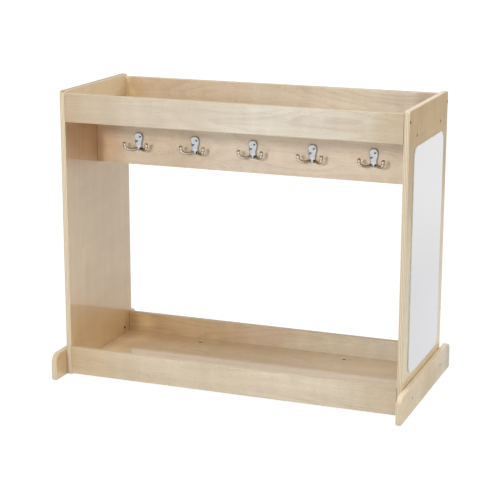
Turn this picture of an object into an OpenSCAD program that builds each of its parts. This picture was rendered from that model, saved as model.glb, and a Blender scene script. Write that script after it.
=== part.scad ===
// Dress up storage unit with a mirror, for a nursery or playroom.
// Birch plywood boards between two side panels, a tray on top, a hook rail under it,
// a tray at the bottom, a foot board on each side and a mirror on the right side panel.
// Frame: +X to the right, +Y to the back, +Z up. Origin under the middle, on the floor.
// All lengths are in millimetres.

/* [Side panels] */
// Width across the outer faces of the two side panels
unit_width = 970; // [700:1:1300]
// Depth of a side panel, front edge to back edge
panel_depth = 395; // [330:1:520]
// Height of a side panel
panel_height = 800; // [740:1:1000]
// Thickness of the plywood of the side panels
panel_thickness = 15; // [12:0.5:21]
// Radius of a side panel's two top corners
panel_top_radius = 10; // [6:1:30]
// Radius of a side panel's two bottom corners
panel_bottom_radius = 6; // [6:1:12]
// Radius of the sanded arris on every board that shows
arris = 2.4; // [1:0.1:2.8]

/* [Long boards] */
// Thickness of the plywood of the boards between the panels
board_thickness = 15; // [12:0.5:21]
// Height of the front and back boards, top and bottom
board_height = 77; // [70:1:110]
// How far the top boards stop below the top of the panels
top_drop = 7; // [0:1:20]
// Gap between the floor and the bottom boards
bottom_lift = 4; // [1:1:12]

/* [Trays] */
// Thickness of the two tray floors
shelf_thickness = 15; // [12:0.5:18]
// Height of the upper tray floor's underside over the lower edge of its boards
upper_shelf_lift = 5; // [0:1:12]
// Height of the lower tray floor's underside over the lower edge of its boards
lower_shelf_lift = 4; // [0:1:12]

/* [Hook rail] */
// Thickness of the hook rail
rail_thickness = 15; // [12:0.5:21]
// Height of the hook rail below the upper tray floor
rail_height = 146; // [120:1:200]
// Distance of the hook rail's front face behind the middle of the depth, negative is ahead
rail_offset = -7.5; // [-40:0.5:40]

/* [Feet] */
// Length of a foot board, front to back
foot_length = 520; // [480:1:640]
// Height of a foot board
foot_height = 75; // [68:1:100]
// Thickness of a foot board
foot_thickness = 15; // [12:0.5:21]
// Radius of a foot board's two top corners
foot_top_radius = 27; // [10:1:40]
// Radius of a foot board's two bottom corners
foot_bottom_radius = 6; // [6:1:12]

/* [Mirror] */
// Width of the mirror sheet, front to back
mirror_width = 300; // [200:1:310]
// Height of the mirror sheet
mirror_height = 600; // [400:1:620]
// Thickness of the mirror sheet
mirror_thickness = 2; // [1.5:0.1:4]
// Height of the mirror's lower edge over the floor
mirror_bottom = 100; // [100:1:110]
// Radius of the mirror's four corners
mirror_radius = 30; // [10:1:50]
// Thickness of the double-sided tape behind the mirror
tape_thickness = 0.5; // [0.5:0.1:1.5]
// Width of one strip of tape
tape_width = 25; // [12:1:40]
// Distance from the mirror's edge to the tape
tape_inset = 35; // [32:1:45]

/* [Coat hooks] */
// Distance from one hook to the next
hook_pitch = 170; // [120:1:180]
// Height of the base of a hook plate over the hook rail's lower edge
hook_lift = 41; // [32:1:55]
// Width of a hook plate at its round top
hook_plate_width = 25; // [22:0.5:30]
// Width of a hook plate at its base
hook_waist_width = 17; // [14:0.5:18]
// Height of a hook plate
hook_plate_height = 50; // [46:0.5:56]
// Thickness of a hook plate
hook_plate_thickness = 2.4; // [2:0.1:4]
// Thickness of a hook arm
hook_arm_diameter = 5; // [4:0.1:6]
// Diameter of the ball on a hook arm's tip
hook_ball_diameter = 7.6; // [6.5:0.1:9]
// Distance between the two ball tips of a hook
hook_span = 67; // [62:1:80]
// How far a ball tip stands in front of the rail
hook_reach = 25; // [24:0.5:34]
// Height of a ball tip over the root of its arm
hook_rise = 18; // [15:0.5:24]

/* [Fixings] */
// Diameter of the head of a joint screw
screw_head_diameter = 9; // [7:0.5:10]
// Height of the straight part of a screw head, let into the panel
screw_head_height = 3; // [2:0.5:4]
// How far the domed heads on the top boards stand proud
screw_dome = 1.2; // [0.8:0.1:1.6]
// Diameter of a joint screw's shank
screw_diameter = 5; // [4:0.5:6]
// Length of a joint screw without its dome
screw_length = 50; // [35:1:60]
// Distance across the flats of the hexagon sockets
socket_width = 3; // [2.5:0.5:4]
// Diameter of a locating dowel
dowel_diameter = 8; // [6:1:10]
// Length of a locating dowel
dowel_length = 30; // [24:1:40]
// Diameter of a foot bolt's shank
bolt_diameter = 6; // [5:0.5:6]
// Diameter of a hook screw's head
hook_screw_head = 6.4; // [5:0.1:7]
// Diameter of a hook screw's shank
hook_screw_diameter = 3; // [2.5:0.5:3.5]
// Length of a hook screw
hook_screw_length = 14; // [11:1:15]
// Gap all round a screw, bolt, dowel or nut in its bore
bore_clearance = 0.15; // [0.1:0.05:0.3]

/* [Hidden] */
// ---- where the boards stand
outer_x = unit_width / 2;
inner_x = outer_x - panel_thickness;
inner_width = 2 * inner_x;
half_depth = panel_depth / 2;
top_board_z = panel_height - top_drop - board_height;
bottom_board_z = bottom_lift;
upper_shelf_z = top_board_z + upper_shelf_lift;
lower_shelf_z = bottom_board_z + lower_shelf_lift;
shelf_depth = panel_depth - 2 * board_thickness;
rail_z = upper_shelf_z - rail_height;
rail_front_y = rail_offset;
front_board_mid = -half_depth + board_thickness / 2;

// ---- where the fixings go, measured from the boards they hold
board_screw_drop = 22;       // screw below the top edge of a board
board_dowel_drop = 45;       // dowel below the top edge of a board
shelf_screw_inset = 76;      // screw behind the panel's front edge
shelf_dowel_inset = 150;     // dowel behind the panel's front edge
rail_screw_inset = 36;       // screw below the rail's top and over its lower edge
foot_bolt_inset = 49;        // bolt behind the panel's front edge
foot_bolt_z = 40;
shelf_mid = shelf_thickness / 2;
rail_mid_y = rail_front_y + rail_thickness / 2;

// Each fixing is a place [y, z] on the side panel
function mirrored_depth(inset, z) = [[-half_depth + inset, z], [half_depth - inset, z]];
function board_places(z) = [[front_board_mid, z], [-front_board_mid, z]];
top_screw_places = board_places(top_board_z + board_height - board_screw_drop);
bottom_screw_places = board_places(bottom_board_z + board_height - board_screw_drop);
upper_shelf_places = mirrored_depth(shelf_screw_inset, upper_shelf_z + shelf_mid);
lower_shelf_places = mirrored_depth(shelf_screw_inset, lower_shelf_z + shelf_mid);
rail_screw_places = [
    [rail_mid_y, rail_z + rail_screw_inset],
    [rail_mid_y, rail_z + rail_height - rail_screw_inset]
];
dowel_places = concat(
    board_places(top_board_z + board_height - board_dowel_drop),
    board_places(bottom_board_z + board_height - board_dowel_drop),
    mirrored_depth(shelf_dowel_inset, upper_shelf_z + shelf_mid),
    mirrored_depth(shelf_dowel_inset, lower_shelf_z + shelf_mid),
    [[rail_mid_y, rail_z + rail_height / 2]]
);
foot_bolt_places = mirrored_depth(foot_bolt_inset, foot_bolt_z);
flush_screw_places = concat(
    upper_shelf_places, rail_screw_places, bottom_screw_places, lower_shelf_places
);
all_screw_places = concat(top_screw_places, flush_screw_places);

// ---- sizes of the fixings that follow from the driving ones
dowel_in_panel = dowel_length / 3;
socket_depth = screw_head_height - 0.5;
insert_diameter = bolt_diameter + 3;
insert_length = 11;
foot_bolt_length = foot_thickness + panel_thickness - 4;
nut_diameter = 10;
nut_length = shelf_thickness - 1;         // a little below the tray floor's top
nut_setback = 38;            // barrel nut ahead of the back board's front face
nut_skin = 0.5;              // wood left under a barrel nut
nut_x = 222;                 // barrel nut to each side of the middle
back_bolt_length = board_thickness + nut_setback + 3;
front_dowel_x = 222;         // dowel between the front board and the lower tray floor

// ---- coat hooks
hook_count = 5;
hook_z = rail_z + hook_lift;
hook_top_r = hook_plate_width / 2;
hook_waist_r = hook_waist_width / 2;
hook_top_z = hook_plate_height - hook_top_r;
hook_neck_z = 9;             // centre of the plate's narrow end over its base
hook_boss_r = 6.5;           // the boss that the arms grow from
hook_root_z = 4.5;           // middle of the arms' level run over the plate's base
hook_root_y = 4;             // the same over the plate's back
hook_boss_depth = hook_root_y + hook_arm_diameter / 2 + 1;
hook_arm_start = hook_arm_diameter / 2;
hook_bend_r = 9;             // bend from the level run up to the tip
hook_low_screw = [-5.2, 25.4];
hook_high_screw = [4.4, 37.8];
hook_screw_dome = 1;
hook_screw_rim = 0.6;

eps = 0.01;
round_fn = 64;
small_fn = 32;

birch = "burlywood";
bare_birch = "wheat";
bronze = "saddlebrown";
nickel = "silver";

// ---------------------------------------------------------------- shapes

// Rounded rectangle from the origin, w along X and h along Y
module rounded_rect(w, h, r) {
    translate([r, 0]) square([w - 2 * r, h]);
    translate([0, r]) square([w, h - 2 * r]);
    for (x = [r, w - r], y = [r, h - r])
        translate([x, y]) circle(r = r, $fn = small_fn);
}

// Round plate of thickness t in Z, its rim rounded to a
module rimmed_disc(r, t, a) {
    rotate_extrude($fn = round_fn) {
        square([r - a, t]);
        translate([0, a]) square([r, t - 2 * a]);
        for (z = [a, t - a]) translate([r - a, z]) circle(r = a, $fn = small_fn);
    }
}

// Upright board: length l along Y, height h along Z, thickness t along X, outline corners
// rounded to top_r and low_r, and every arris rounded to a. A square is cut out of each
// corner of a square board, and a quarter of a rimmed disc takes its place.
module sanded_board(l, h, t, top_r, low_r, a) {
    corners = [[0, h, top_r], [l, h, top_r], [0, 0, low_r], [l, 0, low_r]];
    difference() {
        intersection() {
            linear_extrude(h) rounded_rect(t, l, a);
            translate([0, l, 0]) rotate([90, 0, 0]) linear_extrude(l) rounded_rect(t, h, a);
        }
        for (c = corners) corner_square(c, t, 1);
    }
    for (c = corners) intersection() {
        translate([0, abs(c[0] - c[2]), abs(c[1] - c[2])]) rotate([0, 90, 0])
            rimmed_disc(c[2], t, a);
        corner_square(c, t, 0);
    }
}

// The square at corner c = [y, z, radius], reaching past the board by spare
module corner_square(c, t, spare) {
    r = c[2];
    translate([-spare, c[0] > 0 ? c[0] - r : -spare, c[1] > 0 ? c[1] - r : -spare])
        cube([t + 2 * spare, r + spare, r + spare]);
}

// Board between the panels: profile t along Y and h along Z, with rounded long arrises
module long_board(t, h) {
    translate([-inner_x, 0, 0]) rotate([90, 0, 90])
        linear_extrude(inner_width) rounded_rect(t, h, arris);
}

// Cylinder along +X from the origin
module rod_x(d, l) {
    rotate([0, 90, 0]) cylinder(d = d, h = l, $fn = small_fn);
}

// Bore for a cylinder of diameter d along +X
module bore_x(d, l) {
    rod_x(d + 2 * bore_clearance, l);
}

// Puts its children at each [y, z] place, with x = 0 at the right panel's outer face and
// +X pointing into the unit
module at_right(places) {
    for (p = places) translate([outer_x, p[0], p[1]]) mirror([1, 0, 0]) children();
}

module at_left(places) {
    mirror([1, 0, 0]) at_right(places) children();
}

// ---------------------------------------------------------------- fixings

// Joint screw along +X, its head let in flush or with a dome outside
module joint_screw(dome) {
    difference() {
        union() {
            rod_x(screw_head_diameter, screw_head_height);
            rod_x(screw_diameter, screw_length);
            if (dome > 0) {
                cap_r = (pow(screw_head_diameter / 2, 2) + dome * dome) / (2 * dome);
                intersection() {
                    translate([cap_r - dome, 0, 0]) sphere(r = cap_r, $fn = round_fn);
                    translate([-dome - 1, 0, 0]) rod_x(screw_head_diameter, dome + 1 + eps);
                }
            }
        }
        translate([-dome - 1, 0, 0]) rotate([0, 90, 0])
            cylinder(d = socket_width / cos(30), h = dome + 1 + socket_depth, $fn = 6);
    }
}

// What a joint screw needs out of the boards
module joint_screw_bore() {
    translate([-1, 0, 0]) rod_x(screw_head_diameter + 2 * bore_clearance,
                                screw_head_height + 1);
    bore_x(screw_diameter, screw_length + 1);
}

// Dowel along +X, a third of it in the panel
module dowel() {
    translate([panel_thickness - dowel_in_panel, 0, 0]) rod_x(dowel_diameter, dowel_length);
}

module dowel_bore() {
    translate([panel_thickness - dowel_in_panel - 0.5, 0, 0])
        bore_x(dowel_diameter, dowel_length + 1);
}

// Foot bolt along +X from the foot board's outer face, with a low domed head
module foot_bolt() {
    translate([-foot_thickness, 0, 0]) difference() {
        union() {
            rod_x(screw_head_diameter, screw_head_height);
            rod_x(bolt_diameter, foot_bolt_length);
        }
        translate([-1, 0, 0]) rotate([0, 90, 0])
            cylinder(d = socket_width / cos(30), h = 1 + socket_depth, $fn = 6);
    }
}

module foot_bolt_bore() {
    translate([-foot_thickness - 1, 0, 0])
        bore_x(screw_head_diameter, screw_head_height + 1);
    translate([-foot_thickness, 0, 0])
        bore_x(bolt_diameter, foot_thickness + panel_thickness + 1);
    translate([panel_thickness - insert_length, 0, 0])
        bore_x(insert_diameter, insert_length + 1);
}

// Threaded insert in the panel's inner face, open at both ends
module foot_bolt_insert() {
    translate([panel_thickness - insert_length, 0, 0]) difference() {
        rod_x(insert_diameter, insert_length);
        translate([-1, 0, 0]) bore_x(bolt_diameter, insert_length + 2);
    }
}

// All bores of the fixings that come in from one side
module side_bores() {
    at_right(all_screw_places) joint_screw_bore();
    at_right(dowel_places) dowel_bore();
    at_right(foot_bolt_places) foot_bolt_bore();
}

module both_side_bores() {
    side_bores();
    mirror([1, 0, 0]) side_bores();
}

// ---------------------------------------------------------------- plywood boards

module side_panel() {
    difference() {
        translate([inner_x, -half_depth, 0])
            sanded_board(panel_depth, panel_height, panel_thickness,
                         panel_top_radius, panel_bottom_radius, arris);
        side_bores();
    }
}

module left_side_panel() {
    color(birch) mirror([1, 0, 0]) side_panel();
}

module right_side_panel() {
    color(birch) side_panel();
}

module top_front_board() {
    color(birch) difference() {
        translate([0, -half_depth, top_board_z]) long_board(board_thickness, board_height);
        both_side_bores();
    }
}

module top_back_board() {
    color(birch) difference() {
        translate([0, half_depth - board_thickness, top_board_z])
            long_board(board_thickness, board_height);
        both_side_bores();
    }
}

module tray_floor(z) {
    difference() {
        translate([-inner_x, -shelf_depth / 2, z])
            cube([inner_width, shelf_depth, shelf_thickness]);
        both_side_bores();
    }
}

module upper_tray_floor() {
    color(birch) tray_floor(upper_shelf_z);
}

// Square along its top, where it meets the tray floor, and sanded along its lower edge
module hook_rail() {
    color(birch) difference() {
        translate([-inner_x, rail_front_y, rail_z]) rotate([90, 0, 90])
            linear_extrude(inner_width) {
                rounded_rect(rail_thickness, rail_height / 2, arris);
                translate([0, arris]) square([rail_thickness, rail_height - arris]);
            }
        both_side_bores();
        for (k = [1:hook_count], p = [hook_low_screw, hook_high_screw])
            translate([hook_x(k) + p[0], rail_front_y - 1, hook_z + p[1]])
                rotate([-90, 0, 0])
                    cylinder(d = hook_screw_diameter + 2 * bore_clearance,
                             h = hook_screw_length - hook_plate_thickness + 1.5,
                             $fn = small_fn);
    }
}

module bottom_front_board() {
    color(birch) difference() {
        translate([0, -half_depth, bottom_board_z])
            long_board(board_thickness, board_height);
        both_side_bores();
        front_edge_dowel_bores();
    }
}

module bottom_back_board() {
    color(birch) difference() {
        translate([0, half_depth - board_thickness, bottom_board_z])
            long_board(board_thickness, board_height);
        both_side_bores();
        back_board_bolt_bores();
    }
}

module lower_tray_floor() {
    color(birch) difference() {
        tray_floor(lower_shelf_z);
        front_edge_dowel_bores();
        back_board_bolt_bores();
        for (x = [-nut_x, nut_x])
            translate([x, shelf_depth / 2 - nut_setback, lower_shelf_z + nut_skin])
                cylinder(d = nut_diameter + 2 * bore_clearance, h = shelf_thickness,
                         $fn = small_fn);
    }
}

module foot_board() {
    difference() {
        translate([outer_x, -foot_length / 2, 0])
            sanded_board(foot_length, foot_height, foot_thickness,
                         foot_top_radius, foot_bottom_radius, arris);
        at_right(foot_bolt_places) foot_bolt_bore();
    }
}

module left_foot() {
    color(birch) mirror([1, 0, 0]) foot_board();
}

module right_foot() {
    color(birch) foot_board();
}

// ---------------------------------------------------------------- mirror

module mirror_sheet() {
    color("lightsteelblue")
        translate([outer_x + tape_thickness, -mirror_width / 2, mirror_bottom])
            rotate([90, 0, 90]) linear_extrude(mirror_thickness)
                rounded_rect(mirror_width, mirror_height, mirror_radius);
}

// Two upright strips and two level strips between them
module mirror_tape() {
    strip_y = mirror_width / 2 - tape_inset;
    strip_z = mirror_height - 2 * tape_inset;
    color("white") translate([outer_x, 0, mirror_bottom + tape_inset]) {
        for (y = [-strip_y, strip_y - tape_width])
            translate([0, y, 0]) cube([tape_thickness, tape_width, strip_z]);
        for (z = [0, strip_z - tape_width])
            translate([0, -strip_y + tape_width + 1, z])
                cube([tape_thickness, 2 * (strip_y - tape_width - 1), tape_width]);
    }
}

// ---------------------------------------------------------------- coat hooks

function hook_x(k) = (k - (hook_count + 1) / 2) * hook_pitch;

// Puts its children at hook k, with z = 0 at the plate's base and +Y out of the rail
module at_hook(k) {
    translate([hook_x(k), rail_front_y, hook_z]) mirror([0, 1, 0]) children();
}

// Keyhole plate: a wide round top drawn in to a narrow base
module hook_plate() {
    rotate([90, 0, 0]) mirror([0, 0, 1]) linear_extrude(hook_plate_thickness) {
        translate([0, hook_top_z]) circle(r = hook_top_r, $fn = round_fn);
        translate([0, hook_neck_z]) circle(r = hook_waist_r, $fn = round_fn);
        polygon([
            [-hook_top_r, hook_top_z], [-hook_waist_r, hook_neck_z],
            [hook_waist_r, hook_neck_z], [hook_top_r, hook_top_z]
        ]);
    }
}

// Arm on the plate's right: out and forward from the boss, then up to its ball
module hook_arm() {
    forward = hook_reach - hook_root_y;
    run = norm([hook_span / 2, forward]);
    straight = run - hook_bend_r;
    upright = hook_rise - hook_bend_r;
    translate([0, hook_root_y, hook_root_z]) rotate([0, 0, atan2(forward, hook_span / 2)]) {
        translate([hook_arm_start, 0, 0]) rod_x(hook_arm_diameter, straight - hook_arm_start);
        translate([straight, 0, hook_bend_r]) rotate([90, 0, 0]) rotate([0, 0, -90])
            rotate_extrude(angle = 90, $fn = round_fn)
                translate([hook_bend_r, 0]) circle(d = hook_arm_diameter, $fn = small_fn);
        translate([run, 0, hook_bend_r]) {
            cylinder(d = hook_arm_diameter, h = upright, $fn = small_fn);
            translate([0, 0, upright]) sphere(d = hook_ball_diameter, $fn = small_fn);
        }
    }
}

module coat_hook(k) {
    color(nickel) at_hook(k) difference() {
        union() {
            hook_plate();
            translate([0, 0, hook_root_z]) rotate([-90, 0, 0])
                cylinder(r = hook_boss_r, h = hook_boss_depth, $fn = small_fn);
            hook_arm();
            mirror([1, 0, 0]) hook_arm();
        }
        for (p = [hook_low_screw, hook_high_screw])
            translate([p[0], -1, p[1]]) rotate([-90, 0, 0])
                cylinder(d = hook_screw_diameter + 2 * bore_clearance,
                         h = hook_plate_thickness + 2, $fn = small_fn);
    }
}

module coat_hook_1() { coat_hook(1); }
module coat_hook_2() { coat_hook(2); }
module coat_hook_3() { coat_hook(3); }
module coat_hook_4() { coat_hook(4); }
module coat_hook_5() { coat_hook(5); }

// Pan head on the plate, shank through it into the rail
module hook_screw() {
    head_r = hook_screw_head / 2;
    cap_r = (head_r * head_r + pow(hook_screw_dome, 2)) / (2 * hook_screw_dome);
    base = hook_plate_thickness;
    rotate([-90, 0, 0]) {
        translate([0, 0, base - hook_screw_length])
            cylinder(d = hook_screw_diameter, h = hook_screw_length, $fn = small_fn);
        difference() {
            intersection() {
                translate([0, 0, base]) cylinder(r = head_r, h = 3, $fn = small_fn);
                translate([0, 0, base + hook_screw_rim + hook_screw_dome - cap_r])
                    sphere(r = cap_r, $fn = round_fn);
            }
            for (a = [0, 90]) rotate([0, 0, a])
                translate([-head_r * 0.55, -0.4, base + 0.9]) cube([head_r * 1.1, 0.8, 2]);
        }
    }
}

module hook_screws() {
    color(nickel) for (k = [1:hook_count], p = [hook_low_screw, hook_high_screw])
        at_hook(k) translate([p[0], 0, p[1]]) hook_screw();
}

// ---------------------------------------------------------------- fixings in place

module left_top_screws() {
    color(bronze) at_left(top_screw_places) joint_screw(screw_dome);
}

module right_top_screws() {
    color(bronze) at_right(top_screw_places) joint_screw(screw_dome);
}

module left_joint_screws() {
    color(bronze) at_left(flush_screw_places) joint_screw(0);
}

module right_joint_screws() {
    color(bronze) at_right(flush_screw_places) joint_screw(0);
}

module left_dowels() {
    color(bare_birch) at_left(dowel_places) dowel();
}

module right_dowels() {
    color(bare_birch) at_right(dowel_places) dowel();
}

// Dowels that carry the front edge of the lower tray floor
module at_front_edge() {
    for (x = [-front_dowel_x, 0, front_dowel_x])
        translate([x, -shelf_depth / 2, lower_shelf_z + shelf_mid]) children();
}

module front_edge_dowels() {
    color(bare_birch) at_front_edge()
        translate([0, -dowel_in_panel, 0]) rotate([-90, 0, 0])
            cylinder(d = dowel_diameter, h = dowel_length, $fn = small_fn);
}

module front_edge_dowel_bores() {
    at_front_edge() translate([0, -dowel_in_panel - 0.5, 0]) rotate([-90, 0, 0])
        cylinder(d = dowel_diameter + 2 * bore_clearance, h = dowel_length + 1,
                 $fn = small_fn);
}

module left_foot_bolts() {
    color(bronze) at_left(foot_bolt_places) foot_bolt();
}

module right_foot_bolts() {
    color(bronze) at_right(foot_bolt_places) foot_bolt();
}

module foot_bolt_inserts() {
    color("gray") {
        at_left(foot_bolt_places) foot_bolt_insert();
        at_right(foot_bolt_places) foot_bolt_insert();
    }
}

// Bolts along -Y through the bottom back board into barrel nuts in the tray floor
module at_back_bolt() {
    for (x = [-nut_x, nut_x])
        translate([x, half_depth, lower_shelf_z + shelf_mid]) rotate([90, 0, 0]) children();
}

module back_board_bolts() {
    color(bronze) at_back_bolt() difference() {
        union() {
            cylinder(d = screw_head_diameter, h = screw_head_height, $fn = small_fn);
            cylinder(d = bolt_diameter, h = back_bolt_length, $fn = small_fn);
        }
        translate([0, 0, -1])
            cylinder(d = socket_width / cos(30), h = 1 + socket_depth, $fn = 6);
    }
}

module back_board_bolt_bores() {
    at_back_bolt() {
        translate([0, 0, -1])
            cylinder(d = screw_head_diameter + 2 * bore_clearance,
                     h = screw_head_height + 1, $fn = small_fn);
        cylinder(d = bolt_diameter + 2 * bore_clearance, h = back_bolt_length + 4,
                 $fn = small_fn);
    }
}

module barrel_nuts() {
    color("gray") difference() {
        for (x = [-nut_x, nut_x])
            translate([x, shelf_depth / 2 - nut_setback, lower_shelf_z + nut_skin])
                cylinder(d = nut_diameter, h = nut_length, $fn = small_fn);
        back_board_bolt_bores();
    }
}

left_side_panel();
right_side_panel();
top_front_board();
top_back_board();
upper_tray_floor();
hook_rail();
bottom_front_board();
bottom_back_board();
lower_tray_floor();
left_foot();
right_foot();
mirror_sheet();
mirror_tape();
coat_hook_1();
coat_hook_2();
coat_hook_3();
coat_hook_4();
coat_hook_5();
hook_screws();
left_top_screws();
right_top_screws();
left_joint_screws();
right_joint_screws();
left_dowels();
right_dowels();
front_edge_dowels();
left_foot_bolts();
right_foot_bolts();
foot_bolt_inserts();
back_board_bolts();
barrel_nuts();
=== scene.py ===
import math

import bmesh
import bpy
from mathutils import Matrix, Vector


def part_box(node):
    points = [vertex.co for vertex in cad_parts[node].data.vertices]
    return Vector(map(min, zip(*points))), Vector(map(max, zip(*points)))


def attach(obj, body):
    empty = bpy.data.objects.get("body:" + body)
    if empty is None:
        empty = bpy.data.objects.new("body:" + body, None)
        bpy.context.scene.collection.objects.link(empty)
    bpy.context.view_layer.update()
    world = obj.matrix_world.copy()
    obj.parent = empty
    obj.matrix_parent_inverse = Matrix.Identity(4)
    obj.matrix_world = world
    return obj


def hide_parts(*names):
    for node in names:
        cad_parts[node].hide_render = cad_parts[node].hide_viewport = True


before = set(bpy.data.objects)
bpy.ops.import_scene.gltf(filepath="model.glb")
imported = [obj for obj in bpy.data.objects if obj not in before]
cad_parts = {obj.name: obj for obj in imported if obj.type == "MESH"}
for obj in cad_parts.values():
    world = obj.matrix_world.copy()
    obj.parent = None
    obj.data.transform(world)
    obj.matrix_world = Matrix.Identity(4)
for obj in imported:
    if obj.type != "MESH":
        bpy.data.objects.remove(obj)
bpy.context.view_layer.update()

scene = bpy.context.scene
scene.view_settings.view_transform = "Standard"

# ---------------------------------------------------------------- camera
# The photograph was taken from in front of the unit and to its right, a little above its
# top, with a long lens. The angles are a turn to the left, a tilt down and a slight roll.
FOCAL_LENGTH_PIXELS = 1515.6
PICTURE_PIXELS = 500
SENSOR_MM = 36
CAMERA_PLACE = (1.435, -3.7965, 1.3761)
TURN, TILT, ROLL = (math.radians(angle) for angle in (20.8535, 14.0856, 0.147))
camera_data = bpy.data.cameras.new("camera")
camera_data.sensor_width = SENSOR_MM
camera_data.lens = FOCAL_LENGTH_PIXELS / PICTURE_PIXELS * SENSOR_MM
camera = bpy.data.objects.new("camera", camera_data)
camera.location = CAMERA_PLACE
camera.rotation_euler = (
    Matrix.Rotation(TURN, 3, "Z")
    @ Matrix.Rotation(math.pi / 2 - TILT, 3, "X")
    @ Matrix.Rotation(ROLL, 3, "Z")
).to_euler()
scene.collection.objects.link(camera)
scene.camera = camera


# ---------------------------------------------------------------- room and floor
# A plain white studio. Its bright backdrop gives most of the light and is what lacquer and
# metal mirror, while the side behind the camera is dim. The floor is a sweep of matt white
# paper that keeps a faint shadow of the unit.
def colour(code):
    """The linear colour of an sRGB hex value."""
    parts = [int(code[i : i + 2], 16) / 255 for i in (1, 3, 5)]
    linear = [c / 12.92 if c <= 0.04045 else ((c + 0.055) / 1.055) ** 2.4 for c in parts]
    return (*linear, 1)


def add(tree, kind, inputs=None, **settings):
    """Adds a node. An input is a number, a colour, a socket, or a node for its first output."""
    made = tree.nodes.new(kind)
    for name, value in settings.items():
        setattr(made, name, value)
    for name, value in (inputs or {}).items():
        if isinstance(value, bpy.types.Node):
            value = value.outputs[0]
        if isinstance(value, bpy.types.NodeSocket):
            tree.links.new(value, made.inputs[name])
        else:
            made.inputs[name].default_value = value
    return made


def seen_directly(tree):
    """1 for what the camera, a reflection or clear plastic shows, 0 for what only lights."""
    path = add(tree, "ShaderNodeLightPath")
    bright = add(
        tree,
        "ShaderNodeMath",
        {0: path.outputs["Is Camera Ray"], 1: path.outputs["Is Glossy Ray"]},
        operation="MAXIMUM",
    )
    return add(
        tree,
        "ShaderNodeMath",
        {0: bright, 1: path.outputs["Is Transmission Ray"]},
        operation="MAXIMUM",
    )


ROOM_WHITE = colour("#ffffff")
# How strongly the room lights the unit, from its front half to the middle of the backdrop
ROOM_LIGHT = 0.26
BACKDROP_LIGHT = 0.95
# What lacquer and metal mirror: a dim studio, up to the soft edge of the leaning backdrop
UNLIT_STUDIO = 0.1
BACKDROP_LEAN = 0.8
BACKDROP_EDGE = (-0.35, 0.05)
world = bpy.data.worlds.new("white_room")
world.use_nodes = True
room = world.node_tree
path = add(room, "ShaderNodeLightPath").outputs
towards = add(
    room,
    "ShaderNodeSeparateXYZ",
    {0: add(room, "ShaderNodeTexCoord").outputs["Generated"]},
).outputs
backdrop = add(
    room,
    "ShaderNodeMath",
    {0: towards[2], 1: -BACKDROP_LEAN, 2: towards[1]},
    operation="MULTIPLY_ADD",
)
mirrored = add(
    room,
    "ShaderNodeMapRange",
    {
        "Value": backdrop,
        "From Min": BACKDROP_EDGE[0],
        "From Max": BACKDROP_EDGE[1],
        "To Min": UNLIT_STUDIO,
    },
)
lighting = add(
    room,
    "ShaderNodeMapRange",
    {"Value": towards[1], "To Min": ROOM_LIGHT, "To Max": BACKDROP_LIGHT},
)
strength = add(
    room,
    "ShaderNodeMapRange",
    {"Value": path["Is Glossy Ray"], "To Min": lighting, "To Max": mirrored},
)
seen_white = add(
    room,
    "ShaderNodeMath",
    {0: path["Is Camera Ray"], 1: path["Is Transmission Ray"]},
    operation="MAXIMUM",
)
strength = add(room, "ShaderNodeMapRange", {"Value": seen_white, "To Min": strength})
room.nodes["Background"].inputs["Color"].default_value = ROOM_WHITE
room.links.new(strength.outputs[0], room.nodes["Background"].inputs["Strength"])
scene.world = world

FLOOR_RADIUS = 40
FLOOR_SIDES = 96
FLOOR_PAPER = colour("#efefee")
# Seen directly, the paper shows this share of its light and shadow over a glow of its own,
# which is plain white further out than the unit's shadow reaches
FLOOR_SHADOW_SHARE = colour("#6e6e6e")
FLOOR_GLOW = 0.94
SHADOW_REACH = 1.5
floor_mesh = bpy.data.meshes.new("floor")
sweep = bmesh.new()
bmesh.ops.create_circle(sweep, cap_ends=True, radius=FLOOR_RADIUS, segments=FLOOR_SIDES)
sweep.to_mesh(floor_mesh)
floor = bpy.data.objects.new("floor", floor_mesh)
scene.collection.objects.link(floor)
paper = bpy.data.materials.new("matt_white_paper")
paper.use_nodes = True
tree = paper.node_tree
tree.nodes.clear()
lit = add(tree, "ShaderNodeBsdfDiffuse", {"Color": FLOOR_PAPER})
shaded = add(tree, "ShaderNodeBsdfDiffuse", {"Color": FLOOR_SHADOW_SHARE})
away = add(
    tree,
    "ShaderNodeVectorMath",
    {0: add(tree, "ShaderNodeTexCoord").outputs["Object"]},
    operation="LENGTH",
)
brightness = add(
    tree,
    "ShaderNodeMapRange",
    {
        "Value": away.outputs["Value"],
        "From Min": SHADOW_REACH,
        "From Max": 2 * SHADOW_REACH,
        "To Min": FLOOR_GLOW,
    },
)
glow = add(tree, "ShaderNodeEmission", {"Strength": brightness})
shown = add(tree, "ShaderNodeAddShader", {0: shaded, 1: glow})
either = add(tree, "ShaderNodeMixShader", {0: seen_directly(tree), 1: lit, 2: shown})
add(tree, "ShaderNodeOutputMaterial", {"Surface": either})
floor_mesh.materials.append(paper)


# ---------------------------------------------------------------- lamps
# A square soft box stands well in front of the unit, to the left and above its top, as the
# hooks' shadows show, and a wide panel overhead fills the trays. Neither is mirrored in the
# satin wood, where it would show as a hard patch.
def soft_box(name, place, aim, side, watts, tint):
    """A square lamp that shines from one place towards another. Its side is in metres."""
    lamp = bpy.data.lights.new(name, "AREA")
    lamp.size = side
    lamp.energy = watts
    lamp.color = tint[:3]
    placed = bpy.data.objects.new(name, lamp)
    placed.location = place
    placed.rotation_euler = (Vector(aim) - Vector(place)).to_track_quat("-Z", "Y").to_euler()
    placed.visible_glossy = False
    scene.collection.objects.link(placed)
    return placed


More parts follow.
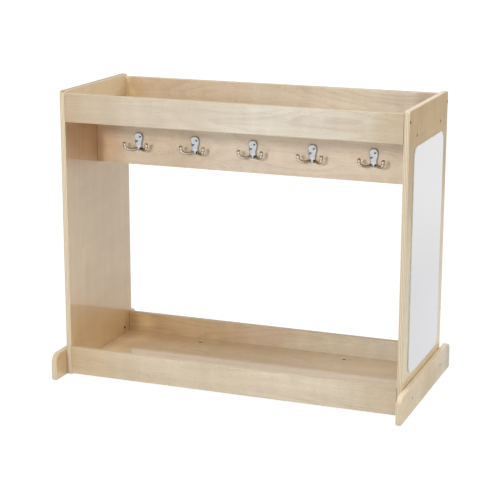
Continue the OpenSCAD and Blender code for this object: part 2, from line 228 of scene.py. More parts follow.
KEY = {
    "place": (-0.94, -4.19, 2.0),
    "aim": (0, -0.1, 0.5),
    "side": 0.5,
    "watts": 70,
    "tint": colour("#fffdf8"),
}
soft_box("key", **KEY)
soft_box(
    "overhead",
    place=(0.6, -0.6, 3.4),
    aim=(0, 0, 0.4),
    side=3.0,
    watts=68,
    tint=colour("#ffffff"),
)


# ---------------------------------------------------------------- plywood
# Birch plywood of seven plies, 15 mm thick, sanded and given a clear satin lacquer. The face
# veneer is peeled from the log, so it is pale, with wide wandering growth lines, faint
# streaks and short flecks. Every edge shows the plies, and the lacquer mirrors the room.
MM = 1000
X, Y, Z = range(3)
# The veneer's patterns: length along the grain and width across it in mm, and fine detail.
# Fibres and flecks are drawn a few times as wide as real ones, so that they show
VENEER_PATTERNS = {
    "rings": (760, 130, 1.0),
    "figured": (420, 110, 0.0),
    "broad": (460, 46, 1.0),
    "wobble": (240, 60, 1.0),
    "streak": (140, 4.5, 2.0),
    "curl": (30, 130, 0.5),
    "fibre": (26, 0.9, 1.0),
    "fleck": (9, 1.5, 0.0),
}
# How slowly the patterns change through a board, in mm
VENEER_DEPTH = 90
# How far one board lies from the next in the patterns, and one pattern from the next
BOARD_STEP = 7.3
PATTERN_STEP = 3.1
# How far the wobble shifts a board's tones along it, as a share of its length
TONE_WANDER = 0.08
# Growth lines: how many, how much the streaks fray them, the part of each year that gets
# dark, and where and how strongly they show
GROWTH_LINES = 22
GROWTH_FRAY = 0.5
LATE_WOOD = (0.3, 0.95)
FIGURED_PARTS = (0.42, 0.62)
GROWTH_STRENGTH = (0.03, 0.13)
GROWTH_TINT = colour("#b98f62")
# The other marks: where in its pattern each begins and is full, and how strong it is then
VENEER_MARKS = {
    "broad": (0.38, 0.68, 0.14),
    "streak": (0.45, 0.75, 0.09),
    "fibre": (0.5, 0.8, 0.08),
    "fleck": (0.7, 0.78, 0.3),
}
# The strength of all marks together on a common board, which a plainer one keeps
USUAL_FIGURE = 0.12
# Where the curled grain shows, and how much it brightens the veneer
CURL = (0.3, 0.7)
SHIMMER = (1.02, 1.08)
# In mm, deeper than real pores, so that they show
PORE_DEPTH = 0.1
PLAIN_VENEER = "#e6d5b6"
# How squarely a surface faces where one look turns into the next: one face into the other,
# a face into a sawn edge, and an upright edge into a top one
FACE_TURNS = 0.1
FACE_TO_EDGE = (0.95, 0.6)
SIDE_TO_TOP = (0.2, 0.9)
# The plies on an edge: how soft a change is, and how wide and strong a glue line is
PLIES = 7
PLY_LONG = colour("#efe1c8")
PLY_CROSS = colour("#cfbd9f")
PLY_GLUE = colour("#aa9274")
PLY_CHANGE = 0.2
GLUE_WIDTH = 0.3
GLUE_COVER = 0.45
# The tone of edges that face up, partly the end grain's own and partly painted shade and
# light, and how much of the plies it covers
EDGE_TOP = "#b7a079"
TOP_COVER = 0.7
# How well the lacquer mirrors, at both ends of a face and on the edges
LACQUER = (0.78, 0.78)
EDGE_LACQUER = 0.1
# The dark line of a joint, and its width in mm
JOINT_TINT = colour("#b8946c")
JOINT_WIDTH = 0.5


def new_material(name, constants):
    """A material with one shader, its constants set on the shader's own sockets."""
    made = bpy.data.materials.new(name)
    made.use_nodes = True
    shader = made.node_tree.nodes["Principled BSDF"]
    for socket, value in constants.items():
        shader.inputs[socket].default_value = value
    return made, made.node_tree, shader


def dress(material, *names):
    """Gives CAD nodes a material."""
    for name in names:
        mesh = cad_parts[name].data
        mesh.materials.clear()
        mesh.materials.append(material)


def birch_plywood(
    node,
    grain,
    through,
    seed,
    tones,
    figure=1,
    lacquer=LACQUER,
    butted=False,
    top=EDGE_TOP,
    other_face=None,
):
    """Gives a board its plywood.

    grain and through are the axes of the face grain and of the thickness, and seed picks the
    veneer. tones are colours along the grain, from 0 at the low end to 1: the veneer's own
    tones with painted shade and light, darker where the board lies in shade and paler where
    it is lit. figure is how strongly its marks show. lacquer is how well it mirrors at both
    ends, and top is the tone of the upper edges, partly their own and partly painted shade
    and light. A butted board shows a dark line where it meets the side panels. other_face is
    a plain tone for the left face of a side panel, which keeps the painted shade off that face.
    """
    material, tree, shader = new_material(
        "lacquered_birch_" + node,
        {"Roughness": 0.45, "Coat Roughness": 0.07, "Coat IOR": 1.5},
    )
    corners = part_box(node)
    start, end = (corner[grain] * MM for corner in corners)
    low, high = (corner[through] * MM for corner in corners)
    coordinates = add(tree, "ShaderNodeTexCoord").outputs
    place = add(
        tree,
        "ShaderNodeVectorMath",
        {0: coordinates["Object"], 1: (MM, MM, MM)},
        operation="MULTIPLY",
    )
    axis = add(tree, "ShaderNodeSeparateXYZ", {0: place}).outputs
    across = X + Y + Z - grain - through
    veneer = add(
        tree, "ShaderNodeCombineXYZ", {0: axis[grain], 1: axis[across], 2: axis[through]}
    )
    pattern = {}
    for number, (name, (length, width, detail)) in enumerate(VENEER_PATTERNS.items()):
        squeeze = (1 / length, 1 / width, 1 / VENEER_DEPTH)
        offset = BOARD_STEP * seed + PATTERN_STEP * number
        stretched = add(
            tree,
            "ShaderNodeVectorMath",
            {0: veneer, 1: squeeze, 2: (offset, offset, offset)},
            operation="MULTIPLY_ADD",
        )
        pattern[name] = add(
            tree, "ShaderNodeTexNoise", {"Vector": stretched, "Scale": 1, "Detail": detail}
        ).outputs[0]

    # The tone changes slowly along the board: the veneer's own tone, with painted shade and
    # light
    along = add(
        tree, "ShaderNodeMapRange", {"Value": axis[grain], "From Min": start, "From Max": end}
    )
    along = add(
        tree,
        "ShaderNodeMath",
        {0: pattern["wobble"], 1: TONE_WANDER, 2: along},
        operation="MULTIPLY_ADD",
    )
    gloss = add(
        tree, "ShaderNodeMapRange", {"Value": along, "To Min": lacquer[0], "To Max": lacquer[1]}
    )
    tone = add(tree, "ShaderNodeValToRGB", {0: along})
    stops = tone.color_ramp.elements
    while len(stops) < len(tones):
        stops.new(1)
    for stop, (position, code) in zip(stops, tones):
        stop.position = position
        stop.color = colour(code)
    tone.color_ramp.interpolation = "EASE"
    facing = add(tree, "ShaderNodeSeparateXYZ", {0: coordinates["Normal"]}).outputs
    if other_face:
        side = add(
            tree,
            "ShaderNodeMapRange",
            {"Value": facing[through], "From Min": FACE_TURNS, "From Max": -FACE_TURNS},
        )
        tone = add(
            tree,
            "ShaderNodeMixRGB",
            {"Fac": side, "Color1": tone, "Color2": colour(other_face)},
        )

    # Growth lines: each starts faint and ends in a sharp dark edge, and they show in patches
    year = add(
        tree, "ShaderNodeMath", {0: pattern["rings"], 1: GROWTH_LINES}, operation="MULTIPLY"
    )
    year = add(
        tree,
        "ShaderNodeMath",
        {0: pattern["streak"], 1: GROWTH_FRAY, 2: year},
        operation="MULTIPLY_ADD",
    )
    season = add(tree, "ShaderNodeMath", {0: year}, operation="FRACT")
    late = add(
        tree,
        "ShaderNodeMapRange",
        {"Value": season, "From Min": LATE_WOOD[0], "From Max": LATE_WOOD[1]},
        interpolation_type="SMOOTHSTEP",
    )
    shown = add(
        tree,
        "ShaderNodeMapRange",
        {
            "Value": pattern["figured"],
            "From Min": FIGURED_PARTS[0],
            "From Max": FIGURED_PARTS[1],
            "To Min": GROWTH_STRENGTH[0],
            "To Max": GROWTH_STRENGTH[1],
        },
    )
    marks = add(tree, "ShaderNodeMath", {0: late, 1: shown}, operation="MULTIPLY")
    for name, (begins, full, share) in VENEER_MARKS.items():
        mark = add(
            tree,
            "ShaderNodeMapRange",
            {"Value": pattern[name], "From Min": begins, "From Max": full, "To Max": share},
        )
        marks = add(tree, "ShaderNodeMath", {0: marks, 1: mark}, operation="ADD")
    marks = add(
        tree,
        "ShaderNodeMath",
        {0: marks, 1: figure, 2: (1 - figure) * USUAL_FIGURE},
        operation="MULTIPLY_ADD",
    )
    face = add(
        tree,
        "ShaderNodeMixRGB",
        {"Fac": marks, "Color1": tone, "Color2": GROWTH_TINT},
        blend_type="MULTIPLY",
    )
    shimmer = add(
        tree,
        "ShaderNodeMapRange",
        {
            "Value": pattern["curl"],
            "From Min": CURL[0],
            "From Max": CURL[1],
            "To Min": SHIMMER[0],
            "To Max": SHIMMER[1],
        },
    )
    face = add(tree, "ShaderNodeVectorMath", {0: face, "Scale": shimmer}, operation="SCALE")

    # The edges: plies with the grain are pale, plies across it darker, with glue between
    ply = (high - low) / PLIES
    middle = add(
        tree, "ShaderNodeMath", {0: axis[through], 1: (low + high) / 2}, operation="SUBTRACT"
    )
    depth = add(tree, "ShaderNodeMath", {0: middle}, operation="ABSOLUTE")
    turn = add(tree, "ShaderNodeMath", {0: depth, 1: math.pi / ply}, operation="MULTIPLY")
    wave = add(tree, "ShaderNodeMath", {0: turn}, operation="COSINE")
    cross = add(
        tree,
        "ShaderNodeMapRange",
        {"Value": wave, "From Min": -PLY_CHANGE, "From Max": PLY_CHANGE},
    )
    core = add(
        tree, "ShaderNodeMixRGB", {"Fac": cross, "Color1": PLY_LONG, "Color2": PLY_CROSS}
    )
    from_glue = add(tree, "ShaderNodeMath", {0: wave}, operation="ABSOLUTE")
    glue = add(
        tree,
        "ShaderNodeMapRange",
        {"Value": from_glue, "From Max": GLUE_WIDTH, "To Min": GLUE_COVER, "To Max": 0},
    )
    core = add(tree, "ShaderNodeMixRGB", {"Fac": glue, "Color1": core, "Color2": PLY_GLUE})
    inside = add(
        tree, "ShaderNodeMath", {0: depth, 1: (high - low) / 2 - ply}, operation="LESS_THAN"
    )
    flat = add(tree, "ShaderNodeMath", {0: facing[through]}, operation="ABSOLUTE")
    sawn = add(
        tree,
        "ShaderNodeMapRange",
        {"Value": flat, "From Min": FACE_TO_EDGE[0], "From Max": FACE_TO_EDGE[1]},
    )
    core_shown = add(tree, "ShaderNodeMath", {0: inside, 1: sawn}, operation="MAXIMUM")
    wood = add(tree, "ShaderNodeMixRGB", {"Fac": core_shown, "Color1": face, "Color2": core})

    # Sawn edges soak up the lacquer, so they are duller. Where they face up they take a tone
    # that is partly their own and partly painted shade and light
    upward = add(
        tree,
        "ShaderNodeMapRange",
        {
            "Value": facing[2],
            "From Min": SIDE_TO_TOP[0],
            "From Max": SIDE_TO_TOP[1],
            "To Max": TOP_COVER,
        },
    )
    top_edge_tone_and_shade = add(tree, "ShaderNodeMath", {0: sawn, 1: upward}, operation="MULTIPLY")
    wood = add(
        tree, "ShaderNodeMixRGB", {"Fac": top_edge_tone_and_shade, "Color1": wood, "Color2": colour(top)}
    )
    film = add(
        tree, "ShaderNodeMapRange", {"Value": sawn, "To Min": gloss, "To Max": EDGE_LACQUER}
    )
    tree.links.new(film.outputs[0], shader.inputs["Coat Weight"])

    if butted:
        from_middle = add(
            tree, "ShaderNodeMath", {0: axis[grain], 1: (start + end) / 2}, operation="SUBTRACT"
        )
        from_middle = add(tree, "ShaderNodeMath", {0: from_middle}, operation="ABSOLUTE")
        joint = add(
            tree,
            "ShaderNodeMapRange",
            {
                "Value": from_middle,
                "From Min": (end - start) / 2 - 2 * JOINT_WIDTH,
                "From Max": (end - start) / 2 - JOINT_WIDTH,
            },
        )
        wood = add(
            tree,
            "ShaderNodeMixRGB",
            {"Fac": joint, "Color1": wood, "Color2": JOINT_TINT},
            blend_type="MULTIPLY",
        )
    tree.links.new(wood.outputs[0], shader.inputs["Base Color"])

    pores = add(
        tree,
        "ShaderNodeBump",
        {"Strength": 0.2, "Distance": PORE_DEPTH / MM, "Height": pattern["fibre"]},
    )
    tree.links.new(pores.outputs[0], shader.inputs["Normal"])
    dress(material, node)


# The tones given to the boards below are the veneer's own tones with painted shade and light,
# darker where a board lies in shade and paler where it is lit, and so are the tones of their
# upward edges.
# ---------------------------------------------------------------- side panels
# The two side panels stand on end, with their grain upright and every arris rounded. The
# left one has the plainer veneer, with a band of painted shade on its inner face just under
# the upper tray. The outer face of the right one is glossy low down and dull towards its
# top, and painted shade and light make it darker towards its top and paler low down.
birch_plywood(
    "left_side_panel", Z, X, 1,
    tones=(
        (0.14, "#f1d3a3"), (0.25, "#ead0a8"), (0.34, "#e9d4b0"), (0.51, "#e4d1ae"),
        (0.74, "#dbc7a5"), (0.82, "#d3ae86"), (0.9, "#c9a279"), (0.93, "#d0ab83"),
        (0.97, "#e8d1af"), (0.99, "#f2dfc1"),
    ),
    figure=0.5,
    top="#957845",
    other_face=PLAIN_VENEER,
)
birch_plywood(
    "right_side_panel", Z, X, 2,
    tones=(
        (0.1, "#e9d096"), (0.4, "#e2d4a9"), (0.52, "#e2d2a8"), (0.58, "#e6d2a6"),
        (0.66, "#e1ca9e"), (0.75, "#d2b98b"), (0.84, "#ceb586"), (0.92, "#d3b27c"),
        (1.0, "#d3b17b"),
    ),
    lacquer=(1.0, 0.0),
    top="#dccbae",
    other_face=PLAIN_VENEER,
)

# ---------------------------------------------------------------- foot boards
# A foot board is bolted along the lower edge of each side panel's outer face. It sticks out
# front and back, with its upper corners rounded, so that the unit can't be tipped.
birch_plywood(
    "left_foot", Y, X, 3,
    tones=((0.0, "#ecd0a3"), (1.0, "#eacfa2")),
    top="#e0cc9e",
)
# Its pale top tone is painted light on the foot's upper edge
birch_plywood(
    "right_foot", Y, X, 4,
    tones=(
        (0.04, "#e6cd99"), (0.36, "#e9cfa2"), (0.56, "#dcbd86"), (0.9, "#e9d5ae"),
        (1.0, "#c6be9f"),
    ),
    lacquer=(0.4, 0.4),
    top="#ffeed2",
)

# ---------------------------------------------------------------- upper tray
# A front board, a back board and a floor between them make the tray on top. Screws through
# the side panels hold their ends, and the back board fits so closely that no joint shows.
birch_plywood(
    "top_front_board", X, Y, 5,
    tones=(
        (0.0, "#c7ae8e"), (0.18, "#cdbfa8"), (0.24, "#d5c9b6"), (0.46, "#d5cab8"),
        (0.62, "#dfd8ca"), (0.82, "#dbd2c3"), (0.94, "#d6ccb8"), (1.0, "#caba9e"),
    ),
    butted=True,
)
# Painted light and shade: paler just inside its left end and darker beyond, against the
# corner's shade
birch_plywood(
    "top_back_board", X, Y, 6,
    tones=(
        (0.04, "#f2e0b8"), (0.08, "#ccb591"), (0.13, "#d4c1a8"), (0.3, "#d6c6af"),
        (0.54, "#d9cdba"), (0.8, "#e4dbcc"), (0.95, "#dad1c7"), (1.0, "#c8b9a9"),
    ),
)
birch_plywood(
    "upper_tray_floor", X, Z, 10,
    tones=((0.0, "#d8c6a8"), (1.0, "#d5c4a8")),
    butted=True,
)

# ---------------------------------------------------------------- hook rail
# One board hangs under the middle of the upper tray and carries the coat hooks. It is
# screwed and dowelled between the side panels as the other boards are.
# Painted shade: darker and warmer towards its left end, beside the left side panel
birch_plywood(
    "hook_rail", X, Y, 9,
    tones=(
        (0.04, "#dfba93"), (0.09, "#d7bea1"), (0.14, "#dfd0ba"), (0.32, "#d9c8b1"),
        (0.44, "#e4d8c7"), (0.9, "#e6d7c4"), (1.0, "#e1d6c1"),
    ),
    butted=True,
)

# ---------------------------------------------------------------- lower tray
# Two boards on edge and a floor between them tie the side panels together at the bottom.
# The front board is dowelled to the tray floor, and the back board is bolted to it.
birch_plywood(
    "bottom_front_board", X, Y, 7,
    tones=(
        (0.04, "#d3be9c"), (0.38, "#dcceb7"), (0.54, "#dbceb6"), (0.7, "#e3d6c2"),
        (0.86, "#ded2bc"), (1.0, "#cfc0a6"),
    ),
    butted=True,
    top="#d0bb98",
)
# Painted light and shade: bright at its left end, darker just beyond it, and pale to the right
birch_plywood(
    "bottom_back_board", X, Y, 8,
    tones=(
        (0.02, "#ffe4b3"), (0.06, "#ffe6ba"), (0.13, "#ceb28c"), (0.22, "#dec5a2"),
        (0.38, "#e0caaa"), (0.52, "#ecdbc7"), (0.65, "#f7efdc"), (0.78, "#f1eada"),
        (0.92, "#f0ebe0"), (1.0, "#eee5c8"),
    ),
    butted=True,
)
birch_plywood(
    "lower_tray_floor", X, Z, 11,
    tones=(
        (0.06, "#f3d8b2"), (0.17, "#d7bf98"), (0.5, "#d4bd9c"), (0.64, "#d8c3a5"),
        (0.8, "#e0ceb2"), (0.95, "#e2ceaf"),
    ),
    butted=True,
)

# ---------------------------------------------------------------- mirror
# A safety mirror of 2 mm acrylic, silvered on its back, with round corners and a polished,
# bevelled edge, painted white for the light that it gives off. Double-sided foam tape holds
# it to the side panel.
MIRROR_CORNER = 30
MIRROR_BEVEL = 0.7
CORNER_STEPS = 12
# The edge reaches this far back over the tape, so that no dark gap shows under it
MIRROR_SKIRT = 0.4
# The silver's tone low down and high up, and the heights in metres between which it
# changes. The darker tone low down is painted shade.
SILVER_LOW_PAINTED_SHADE = colour("#a9a9ae")
SILVER_HIGH = colour("#bdbaba")
SILVER_CHANGES = (0.3, 0.55)
# The patches of an uneven finish: how fine their outline is, and where they fade into others
PATCH_DETAIL = 3
PATCH_FADE = (0.35, 0.65)


def loft(mesh, rings):
    """Joins rings of points, each with as many points, and closes both ends."""
    rows = [[mesh.verts.new(point) for point in ring] for ring in rings]
    for low_row, high_row in zip(rows, rows[1:]):
        for k, vertex in enumerate(low_row):
            after = (k + 1) % len(low_row)
            mesh.faces.new((vertex, low_row[after], high_row[after], high_row[k]))
    return mesh.faces.new(rows[0][::-1]), mesh.faces.new(rows[-1])


def round_rectangle(low, high, radius, x):
    """Points round an upright rectangle with round corners, in mm, at one x."""
    points = []
    for corner, (side_y, side_z) in enumerate(((1, 1), (-1, 1), (-1, -1), (1, -1))):
        centre_y = (high if side_y > 0 else low)[Y] * MM - side_y * radius
        centre_z = (high if side_z > 0 else low)[Z] * MM - side_z * radius
        for step in range(CORNER_STEPS + 1):
            angle = math.pi / 2 * (corner + step / CORNER_STEPS)
            y = centre_y + radius * math.cos(angle)
            z = centre_z + radius * math.sin(angle)
            points.append(Vector((x, y, z)))
    return points


def new_piece(name, mesh, materials):
    """An object in the object's frame from a mesh in mm."""
    mesh.normal_update()
    bmesh.ops.scale(mesh, vec=(1 / MM, 1 / MM, 1 / MM), verts=mesh.verts)
    bmesh.ops.recalc_face_normals(mesh, faces=mesh.faces)
    data = bpy.data.meshes.new(name)
    mesh.to_mesh(data)
    for material in materials:
        data.materials.append(material)
    piece = bpy.data.objects.new(name, data)
    scene.collection.objects.link(piece)
    return piece


def uneven_finish(name, constants, dull, bright, patch, roughness, relief):
    """A finish that changes from place to place, as plating, a cast skin or foam does.

    dull and bright are its colours, patch is the width of one patch in mm, roughness is from
    the bright patches to the dull ones, and relief is their height in mm.
    """
    material, tree, shader = new_material(name, constants)
    place = add(
        tree,
        "ShaderNodeVectorMath",
        {0: add(tree, "ShaderNodeTexCoord").outputs["Object"], "Scale": MM / patch},
        operation="SCALE",
    )
    # At half scale, one wave of the noise is a dull and a bright patch
    patches = add(
        tree, "ShaderNodeTexNoise", {"Vector": place, "Scale": 0.5, "Detail": PATCH_DETAIL}
    )
    wear = add(
        tree,
        "ShaderNodeMapRange",
        {"Value": patches, "From Min": PATCH_FADE[0], "From Max": PATCH_FADE[1]},
    )
    shade = add(tree, "ShaderNodeMixRGB", {"Fac": wear, "Color1": bright, "Color2": dull})
    gloss = add(
        tree,
        "ShaderNodeMapRange",
        {"Value": wear, "To Min": roughness[0], "To Max": roughness[1]},
    )
    skin = add(
        tree, "ShaderNodeBump", {"Strength": 0.5, "Distance": relief / MM, "Height": patches}
    )
    tree.links.new(shade.outputs[0], shader.inputs["Base Color"])
    tree.links.new(gloss.outputs[0], shader.inputs["Roughness"])
    tree.links.new(skin.outputs[0], shader.inputs["Normal"])
    return material


# The silver behind clear acrylic mirrors sharply, and low down it is painted a shade
# greyer, a painted darker reflection there
silver, tree, shader = new_material(
    "silvered_acrylic",
    {
        "Metallic": 1.0,
        "Roughness": 0.03,
        "Coat Weight": 1.0,
        "Coat IOR": 1.49,
        "Coat Roughness": 0.02,
    },
)
place = add(tree, "ShaderNodeTexCoord").outputs["Object"]
height = add(tree, "ShaderNodeSeparateXYZ", {0: place}).outputs[2]
rise = add(
    tree,
    "ShaderNodeMapRange",
    {"Value": height, "From Min": SILVER_CHANGES[0], "From Max": SILVER_CHANGES[1]},
    interpolation_type="SMOOTHSTEP",
)
shade = add(
    tree, "ShaderNodeMixRGB", {"Fac": rise, "Color1": SILVER_LOW_PAINTED_SHADE, "Color2": SILVER_HIGH}
)
tree.links.new(shade.outputs[0], shader.inputs["Base Color"])
# Light that runs inside the sheet leaves it at the polished edge, which looks white: that
# light is painted, as a white colour on the edge
polished_edge = uneven_finish(
    "polished_acrylic_edge",
    {"IOR": 1.49, "Coat Weight": 0.3},
    dull=colour("#eef0f0"),
    bright=colour("#ffffff"),
    patch=5,
    roughness=(0.15, 0.3),
    relief=0.02,
)
low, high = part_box("mirror_sheet")
back, front = low[X] * MM, high[X] * MM
mesh = bmesh.new()
inner_low = Vector(low) + Vector((0, MIRROR_BEVEL, MIRROR_BEVEL)) / MM
inner_high = Vector(high) - Vector((0, MIRROR_BEVEL, MIRROR_BEVEL)) / MM
outline = round_rectangle(low, high, MIRROR_CORNER, back - MIRROR_SKIRT)
edge = round_rectangle(low, high, MIRROR_CORNER, front - MIRROR_BEVEL)
rim = round_rectangle(inner_low, inner_high, MIRROR_CORNER - MIRROR_BEVEL, front)
_, mirror_face = loft(mesh, (outline, edge, rim))
for face in mesh.faces:
    face.material_index = 1
mirror_face.material_index = 0
mirror = new_piece("safety_mirror", mesh, (silver, polished_edge))
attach(mirror, "root")
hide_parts("mirror_sheet")

# Closed-cell foam looks matt and faintly pitted
foam = uneven_finish(
    "white_foam_tape",
    {},
    dull=colour("#cfcfca"),
    bright=colour("#e0e0dc"),
    patch=0.8,
    roughness=(0.85, 0.95),
    relief=0.08,
)
dress(foam, "mirror_tape")

# ---------------------------------------------------------------- coat hooks
# Double coat hooks, die-cast in zinc and plated with bright nickel: an egg-shaped plate with
# a raised bead round its rim, and two arms that spring from its lower corners and thicken
# towards their round tips. The casting is one piece, so the parts are merged and softened.
HOOKS = 5
HOOK_PLATE_HEIGHT = 50
# Half of the plate's outline, from the foot up: distance from its middle line and height
HOOK_PLATE_SIDE = (
    (0, 0), (6.4, 0.4), (9.4, 3.4), (9.8, 9.5), (9.5, 15), (10.2, 21),
    (11.8, 28), (12.7, 35), (12.4, 41), (9.3, 47), (4.4, 49.6), (0, 50),
)
# The bead round the plate: how far it is drawn in at each height over the plate's back
HOOK_PLATE_RIM = ((0, 0), (0, 2.8), (0.3, 3.8), (0.9, 4.3), (1.5, 4.0), (2.0, 2.9))
# The middle line of one arm: sideways, outwards and upwards from the plate's foot, and radius
HOOK_ARM = (
    (5, 1.2, 4.8, 3.6), (9.5, 5.0, 4.2, 3.7), (15, 11.0, 3.7, 3.7), (22, 17.0, 3.6, 3.7),
    (28.6, 21.8, 7.0, 4.0), (32.3, 24.2, 12.0, 4.4), (33.2, 24.6, 17.2, 4.8),
    (33.2, 24.6, 21.2, 4.8),
)
HOOK_TIP_RADIUS = 4.8
# Steps up a quarter circle to the tip, which the last ring leaves nearly closed
HOOK_TIP_STEPS = 5.4
HOOK_CURVE_STEPS = 4
HOOK_SIDES = 20
NEARLY_UPRIGHT = 0.99
# How finely the casting's parts are merged, in mm, and how many times they are softened
HOOK_GRAIN = 0.55
HOOK_SOFTENING = 3
# The tone that the plating takes at a glancing angle, darker than nickel's own: partly
# its edge tone and partly a painted dark reflection along the outlines
NICKEL_EDGE_PAINTED_DARK = colour("#5a5047")
# Painted shade on the plate's sides: how far it reaches from the rail in mm, the share of
# that where it is full, and how high over the foot it begins
HOOK_PAINTED_SHADE = colour("#5a4c40")
HOOK_SHADE_HEIGHT = 2.4
HOOK_SHADE_FULL = 0.7
HOOK_UNSHADED_FOOT = (8, 14)
# A painted warm reflection on the arms: how far from the rail it begins in mm, and how
# many times that it is full
HOOK_PAINTED_WARMTH = colour("#d6cdc2")
HOOK_ARMS_FROM = 6
HOOK_WARMTH_FULL = 1.5


def smooth_curve(points, steps):
    """Points on a smooth curve through the given ones."""
    before, beyond = 2 * points[0] - points[1], 2 * points[-1] - points[-2]
    ends = [before, *points, beyond]
    curve = []
    for a, b, c, d in zip(ends, ends[1:], ends[2:], ends[3:]):
        for step in range(steps):
            t = step / steps
            bend = (2 * a - 5 * b + 4 * c - d) * t**2 + (3 * b - a - 3 * c + d) * t**3
            curve.append(b + ((c - a) * t + bend) / 2)
    return [*curve, points[-1]]


def ring(centre, along, radius):
    """Points of a circle square to a direction."""
    upright = abs(along.z) >= NEARLY_UPRIGHT
    side = Vector((1, 0, 0)) if upright else along.cross(Vector((0, 0, 1)))
    side.normalize()
    up = side.cross(along).normalized()
    turns = (2 * math.pi * k / HOOK_SIDES for k in range(HOOK_SIDES))
    return [centre + radius * (math.cos(a) * side + math.sin(a) * up) for a in turns]


casting = bmesh.new()
side = smooth_curve([Vector(point) for point in HOOK_PLATE_SIDE], HOOK_CURVE_STEPS)
outline = side + [Vector((-point.x, point.y)) for point in side[-2:0:-1]]
rings = []
for inset, height in HOOK_PLATE_RIM:
    drawn = []
    for k, point in enumerate(outline):
        run = (outline[(k + 1) % len(outline)] - outline[k - 1]).normalized()
        inner = point + inset * Vector((-run.y, run.x))
        drawn.append(Vector((inner.x, -height, inner.y)))
    rings.append(drawn)
loft(casting, rings)
for hand in (-1, 1):
    line = [Vector((hand * x, -y, z, radius)) for x, y, z, radius in HOOK_ARM]
    route = smooth_curve(line, HOOK_CURVE_STEPS)
    rings = []
    for k, point in enumerate(route):
        run = (route[min(k + 1, len(route) - 1)] - route[max(k - 1, 0)]).to_3d().normalized()
        rings.append(ring(point.to_3d(), run, point.w))
    tip = route[-1].to_3d()
    for step in range(1, math.ceil(HOOK_TIP_STEPS)):
        angle = math.pi / 2 * step / HOOK_TIP_STEPS
        rings.append(
            ring(
                tip + Vector((0, 0, HOOK_TIP_RADIUS * math.sin(angle))),
                Vector((0, 0, 1)),
                HOOK_TIP_RADIUS * math.cos(angle),
            )
        )
    loft(casting, rings)

# Bright nickel on a die casting mirrors the room, a little wavy and softer in the hollows
nickel = uneven_finish(
    "bright_nickel",
    {"Metallic": 1.0, "Specular Tint": NICKEL_EDGE_PAINTED_DARK},
    dull=colour("#b4b4b6"),
    bright=colour("#c4c4c6"),
    patch=4,
    roughness=(0.08, 0.14),
    relief=0.02,
)
# Painted shade darkens the plate's sides where they meet the rail, but not its foot
tree = nickel.node_tree
shader = tree.nodes["Principled BSDF"]
place = add(tree, "ShaderNodeTexCoord").outputs["Object"]
from_foot = add(tree, "ShaderNodeSeparateXYZ", {0: place}).outputs
above_foot = add(
    tree,
    "ShaderNodeMapRange",
    {
        "Value": from_foot[2],
        "From Min": HOOK_UNSHADED_FOOT[0] / MM,
        "From Max": HOOK_UNSHADED_FOOT[1] / MM,
    },
)
painted_shade = add(
    tree,
    "ShaderNodeMapRange",
    {
        "Value": from_foot[1],
        "From Min": -HOOK_SHADE_HEIGHT / MM,
        "From Max": -HOOK_SHADE_HEIGHT / MM * HOOK_SHADE_FULL,
        "To Max": above_foot,
    },
)
unshaded = shader.inputs["Base Color"].links[0].from_socket
plating = add(tree, "ShaderNodeMixRGB", {"Fac": painted_shade, "Color1": unshaded, "Color2": HOOK_PAINTED_SHADE})
# Painted reflection: the arms' plating is tinted warm, as if it mirrored the wood around it
warm_reflection = add(
    tree,
    "ShaderNodeMapRange",
    {
        "Value": from_foot[1],
        "From Min": -HOOK_ARMS_FROM / MM,
        "From Max": -HOOK_ARMS_FROM / MM * HOOK_WARMTH_FULL,
    },
)
plating = add(
    tree, "ShaderNodeMixRGB", {"Fac": warm_reflection, "Color1": plating, "Color2": HOOK_PAINTED_WARMTH}
)
tree.links.new(plating.outputs[0], shader.inputs["Base Color"])
rough_casting = new_piece("hook_casting", casting, (nickel,))
merge = rough_casting.modifiers.new("merge", "REMESH")
merge.mode = "VOXEL"
merge.voxel_size = HOOK_GRAIN / MM
merge.use_smooth_shade = True
soften = rough_casting.modifiers.new("soften", "SMOOTH")
soften.iterations = HOOK_SOFTENING
bpy.context.view_layer.update()
cast = bpy.data.meshes.new_from_object(
    rough_casting.evaluated_get(bpy.context.evaluated_depsgraph_get())
)
bpy.data.objects.remove(rough_casting)
plated = bpy.data.collections.new("plated")
for number in range(1, HOOKS + 1):
    node = "coat_hook_%d" % number
    low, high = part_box(node)
    hook = bpy.data.objects.new("double_coat_hook_%d" % number, cast)
    scene.collection.objects.link(hook)
    hook.location = ((low[X] + high[X]) / 2, high[Y], high[Z] - HOOK_PLATE_HEIGHT / MM)
    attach(hook, "root")
    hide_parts(node)
    plated.objects.link(hook)

# Only the nickel mirrors the soft box
glint = soft_box("glint", **KEY)
glint.visible_diffuse = False
glint.visible_glossy = True
glint.light_linking.receiver_collection = plated

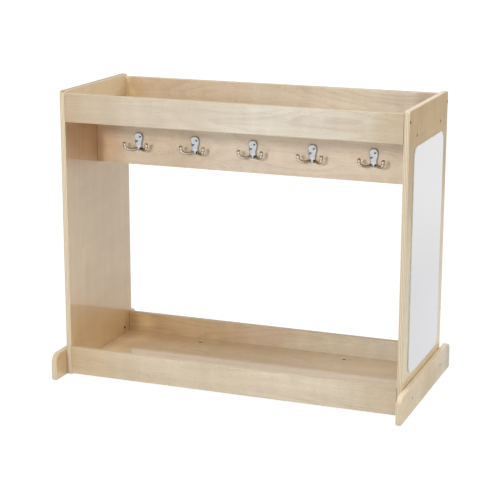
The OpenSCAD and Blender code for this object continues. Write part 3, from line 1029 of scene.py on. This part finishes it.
# The screws' nickel is thinner and duller, and looks grey
screw_nickel = uneven_finish(
    "dull_nickel_screws",
    {"Metallic": 1.0},
    dull=colour("#84868f"),
    bright=colour("#9a9ca5"),
    patch=1.2,
    roughness=(0.25, 0.4),
    relief=0.01,
)
dress(screw_nickel, "hook_screws")

# ---------------------------------------------------------------- fixings
# Screws and bolts of bronzed steel, whose low heads show outside, hold the boards together.
# Out of sight are turned birch dowels and the zinc-plated inserts for the foot bolts. The
# bolts through the bottom back board run into barrel nuts in the tray floor.
BRONZED_FIXINGS = (
    "left_top_screws",
    "right_top_screws",
    "left_joint_screws",
    "right_joint_screws",
    "back_board_bolts",
)

# Bronzing is a thin brown oxide: dark, satin, and worn to a warmer brown on the high places
bronzed = uneven_finish(
    "bronzed_steel",
    {"Metallic": 1.0},
    dull=colour("#2e2419"),
    bright=colour("#4c3a2a"),
    patch=1.5,
    roughness=(0.3, 0.45),
    relief=0.01,
)
dress(bronzed, *BRONZED_FIXINGS)
# Zinc plating is satin. Its dark grey, darker than zinc's own, is painted shade, as for
# parts that sit in shade in their holes
zinc = uneven_finish(
    "zinc_plated_steel",
    {"Metallic": 1.0},
    dull=colour("#3a3835"),
    bright=colour("#54514c"),
    patch=3,
    roughness=(0.25, 0.4),
    relief=0.01,
)
dress(zinc, "foot_bolt_inserts")
# The barrel nuts are painted nearly black, painted shade for their holes in the tray floor
painted_hole_shade = uneven_finish(
    "blacked_steel",
    {"Metallic": 1.0},
    dull=colour("#100f0e"),
    bright=colour("#1e1c1a"),
    patch=3,
    roughness=(0.4, 0.5),
    relief=0.01,
)
dress(painted_hole_shade, "barrel_nuts")
# The foot bolts' bronzing is thin and yellow, near the tone of the wood, so they hardly show
yellow_bronzed = uneven_finish(
    "thinly_bronzed_steel",
    {"Metallic": 1.0},
    dull=colour("#9c8666"),
    bright=colour("#b49c78"),
    patch=1.5,
    roughness=(0.3, 0.45),
    relief=0.01,
)
dress(yellow_bronzed, "left_foot_bolts", "right_foot_bolts")
# Turned birch is bare and matt, with a fuzzy grain
turned = uneven_finish(
    "turned_birch",
    {},
    dull=colour("#d8bd92"),
    bright=colour("#ead4ae"),
    patch=1.0,
    roughness=(0.6, 0.75),
    relief=0.05,
)
dress(turned, "left_dowels", "right_dowels", "front_edge_dowels")
